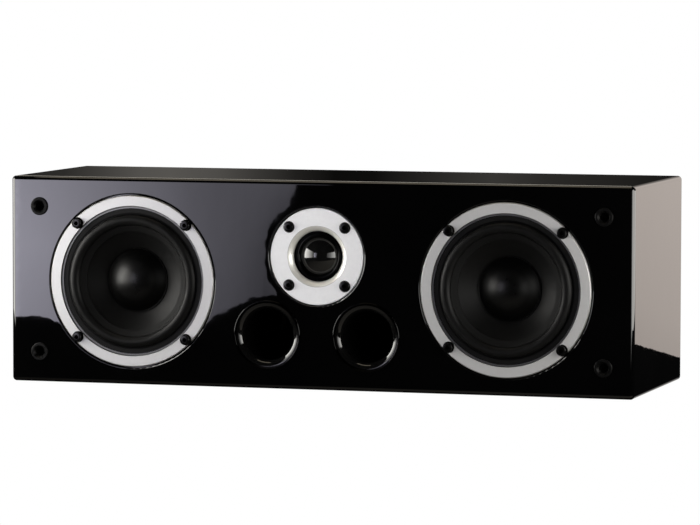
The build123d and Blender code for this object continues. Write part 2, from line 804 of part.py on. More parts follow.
def binding_knob():
    """Fluted knob with a beveled end that turns on the post's stud."""
    start = COLLAR_BACK + SOFT_GAP
    end = start + KNOB_L
    bore = STUD_R + RUN_GAP
    knob = turned(
        (bore, start), (KNOB_R, start), (KNOB_R, end - KNOB_BEVEL), (KNOB_R - KNOB_BEVEL, end), (bore, end)
    )
    flute = Pos(KNOB_R + KNOB_FLUTE_OUT, 0, 0) * rod(KNOB_FLUTE_R, start, end)
    for i in range(KNOB_FLUTES):
        knob -= Rot(0, 360 * i / KNOB_FLUTES, 0) * flute
    return knob


def post_nuts():
    """Hex nuts that clamp the posts from inside the cabinet."""
    start = DISH_FLOOR - CUP_T - NUT_T
    nut = prism(RegularPolygon(NUT_R, 6), start, start + NUT_T) - rod(TAIL_R + SLIP, start, start + NUT_T)
    spots = [side * POST_PITCH / 2 for side in SIDES.values()]
    return Compound(children=[place(x, TERMINAL_Z, nut) for x in spots])


def crossover_board():
    """Circuit board behind the right woofer."""
    plate = place(BOARD_X, BOARD_Z, prism(Rectangle(BOARD_W, BOARD_H), BOARD_FRONT, BOARD_FRONT + BOARD_T))
    for x, z in board_screw_places():
        plate -= place(x, z, rod(SMALL_SCREW_R + SCREW_GAP, BOARD_FRONT, BOARD_FRONT + BOARD_T))
    return plate


def crossover_spacers():
    """Sleeves that hold the board off the back."""
    start = BACK_INSIDE - SPACER_L
    sleeve = rod(SPACER_R, start, BACK_INSIDE) - rod(SMALL_SCREW_R + SCREW_GAP, start, BACK_INSIDE)
    return Compound(children=[place(x, z, sleeve) for x, z in board_screw_places()])


def crossover_screws():
    """Screws through the board and its spacers into the back."""
    head = rod(SMALL_HEAD_R, BOARD_FRONT - SMALL_HEAD_H, BOARD_FRONT)
    screw = head + rod(SMALL_SCREW_R, BOARD_FRONT, BACK_INSIDE + SMALL_SCREW_L - SPACER_L)
    return Compound(children=[place(x, z, screw) for x, z in board_screw_places()])


def inductor(spot, radius, height):
    """Air-cored coil standing on the board."""
    core = radius * COIL_CORE_SHARE
    coil = rod(radius, BOARD_FRONT - height, BOARD_FRONT) - rod(core, BOARD_FRONT - height, BOARD_FRONT)
    return place(BOARD_X + spot[0], BOARD_Z + spot[1], coil)


def capacitors():
    """Film capacitors lying on the board."""
    can = Rot(0, 90, 0) * Cylinder(CAPACITOR_R, CAPACITOR_L)
    depth = BOARD_FRONT - CAPACITOR_R - SLIP
    cans = [place(BOARD_X + x, BOARD_Z + z, Pos(0, depth, 0) * can) for x, z in CAPACITORS_AT]
    return Compound(children=cans)


def resistor():
    """Cement power resistor."""
    block = prism(Rectangle(RESISTOR_W, RESISTOR_H), BOARD_FRONT - RESISTOR_H, BOARD_FRONT)
    return place(BOARD_X + RESISTOR_AT[0], BOARD_Z + RESISTOR_AT[1], block)


def lead(*points):
    """Insulated wire along a route given as x, depth and height, with rounded corners."""
    route = [Vector(x, FRONT_Y + t, z) for x, t, z in points]
    path = FilletPolyline(*route, radius=LEAD_BEND)
    section = Plane(path @ 0, z_dir=path % 0) * Circle(LEAD_R)
    return sweep(section, path=path)


def landing(spot):
    """Point just in front of the board where a lead ends."""
    return BOARD_X + spot[0], BOARD_FRONT - SOFT_GAP, BOARD_Z + spot[1]


def tag_place(side):
    """Point just behind a woofer's terminal tag where its lead starts."""
    reach = BASKET_BACK_R + TAG_REACH - 2 * LEAD_R
    x = side * WOOFER_X + reach * cos(radians(TAG_ANGLE))
    return x, MOTOR_FRONT + SOFT_GAP, WOOFER_Z + reach * sin(radians(TAG_ANGLE))


def right_woofer_lead():
    """Lead straight back from the right woofer to the board, with some slack."""
    x, t, z = tag_place(1)
    end = landing(RIGHT_LEAD_AT)
    third = (end[1] - t) / 3
    return lead((x, t, z), (x, t + third, z), (end[0], end[1] - third, end[2]), end)


def left_woofer_lead():
    """Lead that crosses from the left woofer to the board through the braces' windows."""
    x, t, z = tag_place(-1)
    end = landing(LEFT_LEAD_AT)
    crossing = BACK_INSIDE - BRACE_RAIL - LEAD_ROOM
    height = INSIDE_TOP - BRACE_RAIL - LEAD_ROOM
    return lead((x, t, z), (x, crossing, height), (end[0], crossing, end[2]), end)


def tweeter_lead():
    """Lead from the back of the tweeter through the right brace's window to the board."""
    end = landing(TWEETER_LEAD_AT)
    x = HUB_R / 2
    crossing = BACK_INSIDE - BRACE_RAIL - 2 * LEAD_ROOM
    corner = (end[0], crossing, end[2])
    return lead((x, POT_BACK + SOFT_GAP, TWEETER_Z), (x, crossing, TWEETER_Z), corner, end)


def input_lead():
    """Pair of wires from the posts' tails to the board."""
    tail = DISH_FLOOR - TAIL_L - SOFT_GAP
    wires = []
    for name, side in SIDES.items():
        end = landing(INPUT_LEADS_AT[name])
        x = side * POST_PITCH / 2
        crossing = tail - LEAD_ROOM - (1 - side) * 2 * LEAD_R
        corner = (end[0], crossing, end[2])
        wires.append(lead((x, tail, TERMINAL_Z), (x, crossing, TERMINAL_Z), corner, end))
    return Compound(children=wires)


def one_woofer():
    """Every piece of one woofer about its own axis."""
    gasket = flange_gasket(CUTOUT_R, FLANGE_R, FLANGE_BACK, WOOFER_SEAT, RING_BOLT_R)
    return {
        "trim_ring": trim_ring(),
        "woofer_frame": woofer_frame(),
        "woofer_gasket": gasket,
        "surround": surround(),
        "cone": cone(),
        "dust_cap": dust_cap(),
        "voice_coil": voice_coil(),
        "spider": spider(),
        "top_plate": top_plate(),
        "magnet": magnet(),
        "yoke": yoke(),
        "woofer_screws": woofer_screws(),
    }


def tweeter():
    """Every piece of the tweeter about its own axis."""
    gasket = flange_gasket(HUB_CUTOUT_R, FACE_R - SOFT_GAP, FACE_BACK, FACE_SEAT, FACE_BOLT_R)
    return {
        "tweeter_faceplate": tweeter_faceplate(),
        "tweeter_gasket": gasket,
        "tweeter_dome": tweeter_dome(),
        "tweeter_voice_coil": tweeter_voice_coil(),
        "tweeter_pole_plate": tweeter_pole_plate(),
        "tweeter_magnet": tweeter_magnet(),
        "tweeter_yoke": tweeter_yoke(),
        "tweeter_screws": tweeter_screws(),
    }


def all_parts():
    """Every piece of the speaker in its place, by name."""
    parts = {
        "front_baffle": front_baffle(),
        "cabinet_wrap": cabinet_wrap(),
        "back_panel": back_panel(),
        "left_wadding": left_wadding(),
        "right_wadding": right_wadding(),
        "grille_sockets": grille_sockets(),
        "terminal_cup": terminal_cup(),
        "terminal_screws": terminal_screws(),
        "post_nuts": post_nuts(),
        "crossover_board": crossover_board(),
        "crossover_spacers": crossover_spacers(),
        "crossover_screws": crossover_screws(),
        "woofer_inductor": inductor(WOOFER_COIL_AT, WOOFER_COIL_R, WOOFER_COIL_H),
        "tweeter_inductor": inductor(TWEETER_COIL_AT, TWEETER_COIL_R, TWEETER_COIL_H),
        "capacitors": capacitors(),
        "resistor": resistor(),
        "left_woofer_lead": left_woofer_lead(),
        "right_woofer_lead": right_woofer_lead(),
        "tweeter_lead": tweeter_lead(),
        "input_lead": input_lead(),
    }
    for name, shape in tweeter().items():
        parts[name] = place(0, TWEETER_Z, shape)
    woofer = one_woofer()
    for name, side in SIDES.items():
        parts[f"{name}_brace"] = brace(side)
        parts[f"{name}_port_tube"] = place(side * PORT_X, PORT_Z, port_tube())
        for piece, shape in woofer.items():
            parts[f"{name}_{piece}"] = place(side * WOOFER_X, WOOFER_Z, shape)
    for colour, side in (("red", -1), ("black", 1)):
        parts[f"{colour}_post"] = place(side * POST_PITCH / 2, TERMINAL_Z, binding_post())
        parts[f"{colour}_knob"] = place(side * POST_PITCH / 2, TERMINAL_Z, binding_knob())
    return parts


os.makedirs("parts", exist_ok=True)
for node, solid in all_parts().items():
    export_step(solid, f"parts/{node}.step")
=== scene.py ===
import math

import bmesh
import bpy
from mathutils import Matrix, Vector


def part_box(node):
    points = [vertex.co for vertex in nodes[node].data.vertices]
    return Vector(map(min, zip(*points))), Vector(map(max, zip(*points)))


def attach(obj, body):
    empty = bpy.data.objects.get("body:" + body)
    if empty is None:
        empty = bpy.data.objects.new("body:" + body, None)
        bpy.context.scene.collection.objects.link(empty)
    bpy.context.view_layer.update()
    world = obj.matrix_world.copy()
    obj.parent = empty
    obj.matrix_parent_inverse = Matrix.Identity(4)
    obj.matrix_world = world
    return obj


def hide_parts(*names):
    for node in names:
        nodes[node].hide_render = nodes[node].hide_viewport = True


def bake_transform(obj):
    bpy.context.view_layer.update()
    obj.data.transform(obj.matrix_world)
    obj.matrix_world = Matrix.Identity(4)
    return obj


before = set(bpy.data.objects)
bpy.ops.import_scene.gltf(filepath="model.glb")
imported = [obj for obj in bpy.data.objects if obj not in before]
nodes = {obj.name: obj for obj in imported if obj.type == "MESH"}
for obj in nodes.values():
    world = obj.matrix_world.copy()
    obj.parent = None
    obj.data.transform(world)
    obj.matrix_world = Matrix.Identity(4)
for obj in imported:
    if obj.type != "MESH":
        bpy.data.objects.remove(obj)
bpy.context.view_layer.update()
scene = bpy.context.scene

# Camera of the photograph, found by fitting the cabinet's corners and circles
PHOTO_WIDTH = 700
FOCAL_PIXELS = 4372.7
SENSOR_WIDTH = 36.0
CLIP_END = 100.0
CAMERA_PLACE = Vector((0.9108, -3.0568, 0.3146))
CAMERA_YAW = math.radians(16.56)
CAMERA_PITCH = math.radians(4.093)
CAMERA_ROLL = math.radians(0.113)

# Sizes in metres of the pieces that are dressed here, as in the CAD
SIDES = ("left", "right")
ROLL_OUT_R = 0.0484
ROLL_IN_R = 0.0403
ROLL_H = 0.0034
RUBBER_T = 0.001
LIP_R = 0.036
LIP_SLOPE = 0.5448
CAP_HEAD_R = 0.0035
CAP_HEAD_H = 0.004
CAP_ROUND = 0.0005
CAP_SHANK_R = 0.002
KNURL = 0.00012
HEX_R = 0.00175
HEX_DEPTH = 0.0022
PAN_HEAD_R = 0.003
PAN_HEAD_H = 0.0022
PAN_ROUND = 0.0013
PAN_SHANK_R = 0.0015
CROSS_REACH = 0.0017
CROSS_HALF_W = 0.00045
CROSS_DEPTH = 0.0012
ROLL_STEPS = 160
SCREW_STEPS = 96
ARC_STEPS = 20
RIM_STEPS = 4
CREASE = math.radians(32)
TINY = 1e-6

FRONT_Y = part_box("front_baffle")[0][1]
TOP_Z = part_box("cabinet_wrap")[1][2]


def middle(node):
    """Middle of a CAD node's box."""
    low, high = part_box(node)
    return (low + high) / 2


# Node helpers
NOISE_LOW = 0.3
NOISE_HIGH = 0.7
MIX_SOCKETS = {"RGBA": (6, 7, 2), "FLOAT": (2, 3, 0)}


def new_material(name):
    """Material with a principled shader, its node tree and that shader."""
    material = bpy.data.materials.new(name)
    material.use_nodes = True
    return material, material.node_tree, material.node_tree.nodes["Principled BSDF"]


def add(tree, kind, **values):
    """Node of one kind with some of its inputs set."""
    node = tree.nodes.new(kind)
    for key, value in values.items():
        node.inputs[key.replace("_", " ")].default_value = value
    return node


def noise(tree, scale, detail=3.0):
    """Noise over the object's own coordinates, in metres."""
    place = tree.nodes.new("ShaderNodeTexCoord")
    texture = add(tree, "ShaderNodeTexNoise", Scale=scale, Detail=detail)
    tree.links.new(place.outputs["Object"], texture.inputs["Vector"])
    return texture.outputs["Fac"]


def spread(tree, source, low, high):
    """Values between low and high, from a noise that stays near its middle."""
    ramp = add(tree, "ShaderNodeMapRange", To_Min=low, To_Max=high)
    ramp.inputs["From Min"].default_value = NOISE_LOW
    ramp.inputs["From Max"].default_value = NOISE_HIGH
    tree.links.new(source, ramp.inputs["Value"])
    return ramp.outputs["Result"]


def colour_between(tree, source, dark, light):
    """Colours between two tones, from a noise that stays near its middle."""
    ramp = tree.nodes.new("ShaderNodeValToRGB")
    ramp.color_ramp.elements[0].position = NOISE_LOW
    ramp.color_ramp.elements[1].position = NOISE_HIGH
    ramp.color_ramp.elements[0].color = (*dark, 1)
    ramp.color_ramp.elements[1].color = (*light, 1)
    tree.links.new(source, ramp.inputs["Fac"])
    return ramp.outputs["Color"]


def raise_surface(tree, shader, source, height):
    """Bump of a real height, in metres, from a texture."""
    bump = add(tree, "ShaderNodeBump", Strength=1.0, Distance=height)
    tree.links.new(source, bump.inputs["Height"])
    tree.links.new(bump.outputs["Normal"], shader.inputs["Normal"])


def surface(name, dark, light, rough, metal=0.0, grain=400.0, height=0.0, patch=60.0, **fixed):
    """Material whose tone, roughness and grain all vary over the surface."""
    material, tree, shader = new_material(name)
    shader.inputs["Metallic"].default_value = metal
    for key, value in fixed.items():
        shader.inputs[key.replace("_", " ")].default_value = value
    patches = noise(tree, patch)
    tree.links.new(colour_between(tree, patches, dark, light), shader.inputs["Base Color"])
    tree.links.new(spread(tree, patches, *rough), shader.inputs["Roughness"])
    if height:
        raise_surface(tree, shader, noise(tree, grain), height)
    return material


def paint(material, *names):
    """Give CAD nodes one material."""
    for name in names:
        mesh = nodes[name].data
        mesh.materials.clear()
        mesh.materials.append(material)


# Materials
def neutral(level):
    """One neutral tone."""
    return level, level, level


def grey(low, high):
    """Two neutral tones."""
    return neutral(low), neutral(high)


def lacquer():
    """Piano black lacquer: deep gloss with a faint waviness."""
    return surface(
        "piano_lacquer", (0.0007, 0.0007, 0.0008), (0.0011, 0.0011, 0.0012), (0.008, 0.02),
        grain=26.0, height=0.00003, patch=14.0, IOR=1.52,
    )


def satin_silver(name, tone, rough):
    """Silver coat with a fine speckle, which scatters widely under a soft sheen."""
    dark = tuple(0.95 * c for c in tone)
    return surface(name, dark, tone, rough, grain=1600.0, height=0.000006, patch=420.0, IOR=2.4)


MATERIALS = {
    "lacquer": lacquer(),
    "ring": satin_silver("ring_silver", (0.44, 0.442, 0.444), (0.28, 0.34)),
    "plate": satin_silver("plate_silver", (0.815, 0.825, 0.85), (0.34, 0.40)),
    "cone": surface("pressed_cone", *grey(0.002, 0.003), (0.42, 0.48), grain=1500.0, height=0.00002,
                    patch=420.0, Specular_IOR_Level=0.10),
    "cap": surface("satin_cap", *grey(0.001, 0.002), (0.27, 0.30), patch=200.0,
                   Specular_IOR_Level=0.22),
    "rubber": surface("surround_rubber", *grey(0.003, 0.0045), (0.40, 0.48), grain=1800.0, height=0.00001,
                      patch=180.0, Specular_IOR_Level=0.115),
    "film": surface("dome_film", *grey(0.003, 0.005), (0.05, 0.08), grain=700.0, height=0.000002,
                    patch=300.0, IOR=1.56),
    "port": surface("gloss_moulding", *grey(0.002, 0.003), (0.06, 0.10), grain=300.0, height=0.000006,
                    patch=90.0),
    "moulding": surface("satin_moulding", *grey(0.014, 0.020), (0.36, 0.46), grain=2600.0, height=0.00001,
                        patch=300.0),
    "socket": surface("socket_moulding", *grey(0.002, 0.003), (0.32, 0.40), grain=2600.0, height=0.00001,
                      patch=300.0, Specular_IOR_Level=0.08),
    "back": surface("satin_black", *grey(0.010, 0.013), (0.33, 0.37), grain=1400.0, height=0.00003,
                    patch=260.0),
    "oxide": surface("black_oxide", *grey(0.002, 0.003), (0.10, 0.16), grain=3000.0, height=0.000002,
                     patch=500.0, Specular_IOR_Level=0.22),
    # Painted shade: near-black, barely reflecting coat for the walls and floors of the screw recesses.
    "recess": surface("screw_recess", *grey(0.0005, 0.001), (0.7, 0.9), patch=900.0,
                      Specular_IOR_Level=0.05),
    "gold": surface("gold_plate", (0.72, 0.50, 0.20), (0.83, 0.62, 0.28), (0.14, 0.24), metal=1.0,
                    grain=2400.0, height=0.000005, patch=400.0),
    "red": surface("red_moulding", (0.36, 0.008, 0.008), (0.46, 0.012, 0.012), (0.16, 0.26),
                   grain=1200.0, height=0.00001, patch=300.0),
    "black": surface("black_moulding", *grey(0.008, 0.014), (0.16, 0.26), grain=1200.0, height=0.00001,
                     patch=300.0),
    "board": surface("bare_board", (0.30, 0.20, 0.12), (0.42, 0.30, 0.19), (0.7, 0.85),
                     grain=900.0, height=0.0001, patch=240.0),
    "wadding": surface("wadding_fibre", (0.62, 0.62, 0.60), (0.82, 0.82, 0.80), (0.9, 1.0),
                       grain=500.0, height=0.001, patch=120.0),
    "steel": surface("zinc_steel", (0.52, 0.52, 0.54), (0.64, 0.64, 0.66), (0.3, 0.42), metal=1.0,
                     grain=2000.0, height=0.00001, patch=200.0),
    "ferrite": surface("ferrite", (0.05, 0.05, 0.055), (0.09, 0.09, 0.095), (0.5, 0.7),
                       grain=1500.0, height=0.00004, patch=300.0),
    "copper": surface("copper_wire", (0.50, 0.22, 0.10), (0.72, 0.38, 0.20), (0.22, 0.34), metal=1.0,
                      grain=1200.0, height=0.00005, patch=300.0),
    "cotton": surface("treated_cotton", (0.55, 0.38, 0.12), (0.75, 0.55, 0.20), (0.8, 0.95),
                      grain=1600.0, height=0.0001, patch=500.0),
    "circuit": surface("circuit_board", (0.02, 0.12, 0.05), (0.05, 0.20, 0.10), (0.35, 0.5),
                       grain=900.0, height=0.00002, patch=150.0),
    "wrap": surface("capacitor_wrap", (0.55, 0.33, 0.03), (0.70, 0.45, 0.05), (0.2, 0.3),
                    grain=500.0, height=0.00002, patch=100.0),
    "cement": surface("white_cement", (0.74, 0.73, 0.69), (0.86, 0.85, 0.81), (0.75, 0.9),
                      grain=1500.0, height=0.0001, patch=300.0),
}

SPEAKER = {
    "lacquer": ("front_baffle", "cabinet_wrap"),
    "back": ("back_panel",),
    "plate": ("tweeter_faceplate",),
    "film": ("tweeter_dome",),
    "port": ("left_port_tube", "right_port_tube"),
    "socket": ("grille_sockets",),
    "moulding": ("terminal_cup", "crossover_spacers"),
    "oxide": ("tweeter_screws", "terminal_screws", "crossover_screws"),
    "gold": ("red_post", "black_post", "post_nuts"),
    "red": ("red_knob",),
    "black": ("black_knob",),
    "board": ("left_brace", "right_brace"),
    "wadding": ("left_wadding", "right_wadding"),
    "steel": ("tweeter_pole_plate", "tweeter_yoke"),
    "ferrite": ("tweeter_magnet",),
    "copper": ("tweeter_voice_coil", "woofer_inductor", "tweeter_inductor"),
    "circuit": ("crossover_board",),
    "wrap": ("capacitors",),
    "cement": ("resistor",),
    "rubber": ("tweeter_gasket", "left_woofer_lead", "right_woofer_lead", "tweeter_lead", "input_lead"),
}
WOOFER = {
    "ring": ("trim_ring",),
    "cone": ("cone",),
    "cap": ("dust_cap",),
    "rubber": ("surround", "woofer_gasket"),
    "black": ("woofer_frame",),
    "copper": ("voice_coil",),
    "cotton": ("spider",),
    "steel": ("top_plate", "yoke"),
    "ferrite": ("magnet",),
    "oxide": ("woofer_screws",),
}
for finish, names in SPEAKER.items():
    paint(MATERIALS[finish], *names)
for side in SIDES:
    for finish, names in WOOFER.items():
        paint(MATERIALS[finish], *(f"{side}_{name}" for name in names))


# Zones of a surface with their own tone and roughness, with radii in metres: most are painted shade, and
# the tweeter mouth's tint is a painted reflection
RING_LEDGE_R = 0.0529
RING_STEP_R = 0.0533
RING_FLAT_R = 0.0545
RING_EDGE_R = 0.0616
RING_OUT_R = 0.0623
MOUTH_DARK_R = 0.0176
MOUTH_R = 0.0180
MOUTH_PALE_R = 0.0193
MOUTH_LINE_R = 0.0217
MOUTH_EDGE_R = 0.0218
MOUTH_OUT_R = 0.0220
BOLT_SHADE_R = 0.0042
DOME_R = 0.0140
DOME_RIM_R = 0.0200
PORT_FLARE_R = 0.0229
PORT_LIP_R = 0.0241
PORT_OUT_R = 0.0250
INNER_LIP = (0.0355, 0.0402)
ROLL_FOOT = (0.0482, 0.0496)
WOOFER_REBATE = (0.0628, 0.0640)
TWEETER_REBATE = (0.0354, 0.0366)
CAP_CROWN_R = 0.0095
CAP_SIDE_R = 0.0155
STEP_ROUGH = 0.4
EDGE_ROUGH = 0.55
FILM_ROUGH = 0.10
LIP_ROUGH = 0.62
REBATE_ROUGH = 0.09
CAP_ROUGH = 0.42
MOUTH_BARE = 0.22
CAP_BARE = 0.88


def vector_step(tree, operation, source, values=(0, 0, 0)):
    """Vector maths on a source, with fixed values as the second term."""
    node = tree.nodes.new("ShaderNodeVectorMath")
    node.operation = operation
    node.inputs[1].default_value = values
    tree.links.new(source, node.inputs[0])
    return node


def radius_about(tree, height, reach, rise=0.0):
    """Distance from axes along Y, which lie at plus and minus a reach in X and a rise about a height."""
    place = tree.nodes.new("ShaderNodeTexCoord")
    level = vector_step(tree, "SUBTRACT", place.outputs["Object"], (0, 0, height))
    folded = vector_step(tree, "ABSOLUTE", level.outputs["Vector"])
    offset = vector_step(tree, "SUBTRACT", folded.outputs["Vector"], (reach, 0, rise))
    flat = vector_step(tree, "MULTIPLY", offset.outputs["Vector"], (1, 0, 1))
    return vector_step(tree, "LENGTH", flat.outputs["Vector"]).outputs["Value"]


def mix_in(tree, socket, kind, factor, value):
    """Mix a fixed value into what already feeds a socket, or into the value set on it."""
    first, second, result = MIX_SOCKETS[kind]
    mix = tree.nodes.new("ShaderNodeMix")
    mix.data_type = kind
    mix.inputs[first].default_value = socket.default_value
    mix.inputs[second].default_value = value
    tree.links.new(factor, mix.inputs[0])
    for link in socket.links:
        tree.links.new(link.from_socket, mix.inputs[first])
    tree.links.new(mix.outputs[result], socket)


def zone_between(tree, radius, low, high):
    """One between two radii and nothing elsewhere."""
    zone = tree.nodes.new("ShaderNodeMath")
    zone.operation = "COMPARE"
    zone.inputs[1].default_value = (low + high) / 2
    zone.inputs[2].default_value = (high - low) / 2
    tree.links.new(radius, zone.inputs[0])
    return zone.outputs["Value"]


def zone_fading(tree, radius, start, end):
    """Nothing before one radius, one past another, and a slope between them."""
    zone = add(tree, "ShaderNodeMapRange", From_Min=start, From_Max=end)
    tree.links.new(radius, zone.inputs["Value"])
    return zone.outputs["Result"]


def touch_up(finish, axes, low, high, make_zone=zone_between, tone=None, rough=None, bare=0.0):
    """Give a zone about some axes its own tone or roughness; the bare share reflects only its tone."""
    tree = MATERIALS[finish].node_tree
    shader = tree.nodes["Principled BSDF"]
    zone = make_zone(tree, radius_about(tree, *axes), low, high)
    if tone:
        mix_in(tree, shader.inputs["Base Color"], "RGBA", zone, (*tone, 1))
    if rough:
        mix_in(tree, shader.inputs["Roughness"], "FLOAT", zone, rough)
    if bare:
        mix_in(tree, shader.inputs["Metallic"], "FLOAT", zone, bare)


def axes_of(node):
    """Height and reach of a right-hand or middle piece's axis."""
    return middle(node).z, middle(node).x


WOOFER_AXES = axes_of("right_trim_ring")
TWEETER_AXES = axes_of("tweeter_faceplate")
PORT_AXES = axes_of("right_port_tube")
PLATE_BOLT_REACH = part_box("tweeter_screws")[1].x - CAP_HEAD_R
RING_BOLT_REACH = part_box("right_woofer_screws")[1].z - CAP_HEAD_R - WOOFER_AXES[0]
PLATE_BOLT_AXES = (TWEETER_AXES[0], PLATE_BOLT_REACH, PLATE_BOLT_REACH)
BOLT_SHADE = {"tone": neutral(0.006), "rough": STEP_ROUGH, "bare": 1.0}

# Painted shade: the ring's inner ledge and step are darkened and reflect only a little, standing in for
# the shade in the step down to the surround.
touch_up("ring", WOOFER_AXES, RING_LEDGE_R, RING_STEP_R, tone=neutral(0.17), bare=1.0)
touch_up("ring", WOOFER_AXES, RING_STEP_R, RING_FLAT_R, tone=neutral(0.12), rough=STEP_ROUGH, bare=1.0)
# Painted shade: a darker, rougher band along the ring's outer rim stands in for the shade at the gap
# round the ring and damps its highlight.
touch_up("ring", WOOFER_AXES, RING_EDGE_R, RING_OUT_R, tone=(0.12, 0.12, 0.115), rough=EDGE_ROUGH)
# Painted reflection and shade: the mouth flare gets a darker, warm tint that stands in for the warm
# surroundings it mirrors.
touch_up("plate", TWEETER_AXES, MOUTH_R, MOUTH_EDGE_R, tone=(0.73, 0.722, 0.68), bare=MOUTH_BARE)
# Painted shade: the flare grows dark towards its inner rim, standing in for the shade where it turns into
# the mouth.
touch_up("plate", TWEETER_AXES, MOUTH_PALE_R, MOUTH_DARK_R, zone_fading, tone=(0.22, 0.215, 0.20))
# Painted shade: a darker line at the crease where the flare meets the plate.
touch_up("plate", TWEETER_AXES, MOUTH_LINE_R, MOUTH_OUT_R, tone=(0.34, 0.34, 0.33))
# Painted shade: dark, barely reflecting discs round the screw heads on the plate and on the rings stand
# in for the shade in their holes and the shade the heads cast.
touch_up("plate", PLATE_BOLT_AXES, 0.0, BOLT_SHADE_R, **BOLT_SHADE)
for way in (-1, 1):
    bolt_axes = (WOOFER_AXES[0], WOOFER_AXES[1] + way * RING_BOLT_REACH, RING_BOLT_REACH)
    touch_up("ring", bolt_axes, 0.0, BOLT_SHADE_R, **BOLT_SHADE)
touch_up("film", TWEETER_AXES, DOME_R, DOME_RIM_R, tone=neutral(0.014), rough=FILM_ROUGH, bare=1.0)
# Painted shade: the valley between each port's flare and its lip, and the lip's outer half, are made dark
# and barely reflecting to damp their highlights.
touch_up("port", PORT_AXES, PORT_FLARE_R, PORT_LIP_R, tone=neutral(0.006), bare=1.0)
touch_up("port", PORT_AXES, PORT_LIP_R, PORT_OUT_R, tone=neutral(0.014), bare=1.0)
touch_up("rubber", WOOFER_AXES, *INNER_LIP, tone=neutral(0.003), rough=LIP_ROUGH)
# Painted shade: a dark ring at the foot of the surround's roll stands in for the shade in the groove
# there.
touch_up("rubber", WOOFER_AXES, *ROLL_FOOT, tone=neutral(0.005), bare=1.0)
touch_up("lacquer", WOOFER_AXES, *WOOFER_REBATE, rough=REBATE_ROUGH)
touch_up("lacquer", TWEETER_AXES, *TWEETER_REBATE, rough=REBATE_ROUGH)
# Painted shade: the dust cap grows darker and less reflective towards its rim, standing in for the shade
# the cone casts on it.
touch_up("cap", WOOFER_AXES, CAP_CROWN_R, CAP_SIDE_R, zone_fading,
         tone=neutral(0.004), rough=CAP_ROUGH, bare=CAP_BARE)


# Dressed pieces
def ring(centre, y, radius_at, steps):
    """Ring of points about an axis along Y, with a radius for each angle."""
    points = []
    for i in range(steps):
        angle = math.tau * i / steps
        radius = radius_at(angle)
        points.append((centre.x + radius * math.cos(angle), y, centre.z + radius * math.sin(angle)))
    return points


def round_ring(centre, y, radius, steps):
    """Ring with one radius all round."""
    return ring(centre, y, lambda angle: radius, steps)


def skin(shape, rings, loop, recess=False):
    """Faces between rings of as many points each, joined in a loop or closed at both ends.

    With a recess, the wall to the last ring and its floor get the second material.
    """
    rows = [[shape.verts.new(point) for point in points] for points in rings]
    pairs = list(zip(rows, rows[1:]))
    if loop:
        pairs.append((rows[-1], rows[0]))
    for near, far in pairs:
        for i in range(len(near)):
            j = (i + 1) % len(near)
            face = shape.faces.new((near[i], near[j], far[j], far[i]))
            face.material_index = int(recess and far is rows[-1])
    if not loop:
        shape.faces.new(rows[0])
        shape.faces.new(rows[-1]).material_index = int(recess)


def dress(name, shape, finishes, slot, *replaced):
    """Object from a finished shape, which stands for CAD nodes."""
    bmesh.ops.recalc_face_normals(shape, faces=shape.faces)
    mesh = bpy.data.meshes.new(name)
    shape.to_mesh(mesh)
    shape.free()
    mesh.shade_smooth()
    mesh.set_sharp_from_angle(angle=CREASE)
    for finish in finishes:
        mesh.materials.append(MATERIALS[finish])
    piece = bpy.data.objects.new(name, mesh)
    scene.collection.objects.link(piece)
    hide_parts(*replaced)
    return piece


def arc(start, end, rise):
    """Points of a round arch between two points of a profile, given as radius and depth."""
    half = (start[0] - end[0]) / 2
    ball = (half**2 + rise**2) / (2 * rise)
    reach = math.asin(half / ball)
    centre = (start[0] + end[0]) / 2
    depth = start[1] + ball * math.cos(reach)
    sweep = [reach - 2 * reach * i / ARC_STEPS for i in range(ARC_STEPS + 1)]
    return [(centre + ball * math.sin(a), depth - ball * math.cos(a)) for a in sweep]


def make_surround(side):
    """Rubber half roll between an inner lip sloped along the cone and an outer lip on the basket."""
    node = f"{side}_surround"
    low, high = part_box(node)
    centre = middle(node)
    rim = (high.x - low.x) / 2
    foot = low.y + ROLL_H
    back = foot + RUBBER_T
    drop = (ROLL_IN_R - LIP_R) * LIP_SLOPE
    profile = [(rim, foot)]
    profile += arc((ROLL_OUT_R, foot), (ROLL_IN_R, foot), ROLL_H)
    profile += [(LIP_R, foot + drop), (LIP_R, back + drop), (ROLL_IN_R, back)]
    profile += reversed(arc((ROLL_OUT_R - RUBBER_T, back), (ROLL_IN_R + RUBBER_T, back), ROLL_H))
    profile += [(rim, back)]
    shape = bmesh.new()
    skin(shape, [round_ring(centre, y, radius, ROLL_STEPS) for radius, y in profile], loop=True)
    piece = dress(f"{side}_half_roll", shape, ("rubber",), "surround", node)
    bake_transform(piece)


def hex_edge(angle):
    """Radius of a hex socket at an angle."""
    sixth = math.tau / 6
    return HEX_R * math.cos(sixth / 2) / math.cos(angle % sixth - sixth / 2)


def cross_edge(angle):
    """Radius of a cross recess at an angle."""
    off = abs((angle + math.tau / 8) % (math.tau / 4) - math.tau / 8)
    return min(CROSS_REACH / math.cos(off), CROSS_HALF_W / max(math.sin(off), TINY))


def knurled(radius):
    """Radius of a head whose side is cut by fine grooves."""
    return lambda angle: radius - KNURL * (round(angle * SCREW_STEPS / math.tau) % 2)


def screw_spots(node, head_r):
    """Centres of four screws that stand at the corners of their node's box."""
    low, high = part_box(node)
    near, far = Vector((head_r, 0, head_r)), Vector((-head_r, 0, -head_r))
    corners = (low + near, high + far)
    return [Vector((a.x, 0, b.z)) for a in corners for b in corners]


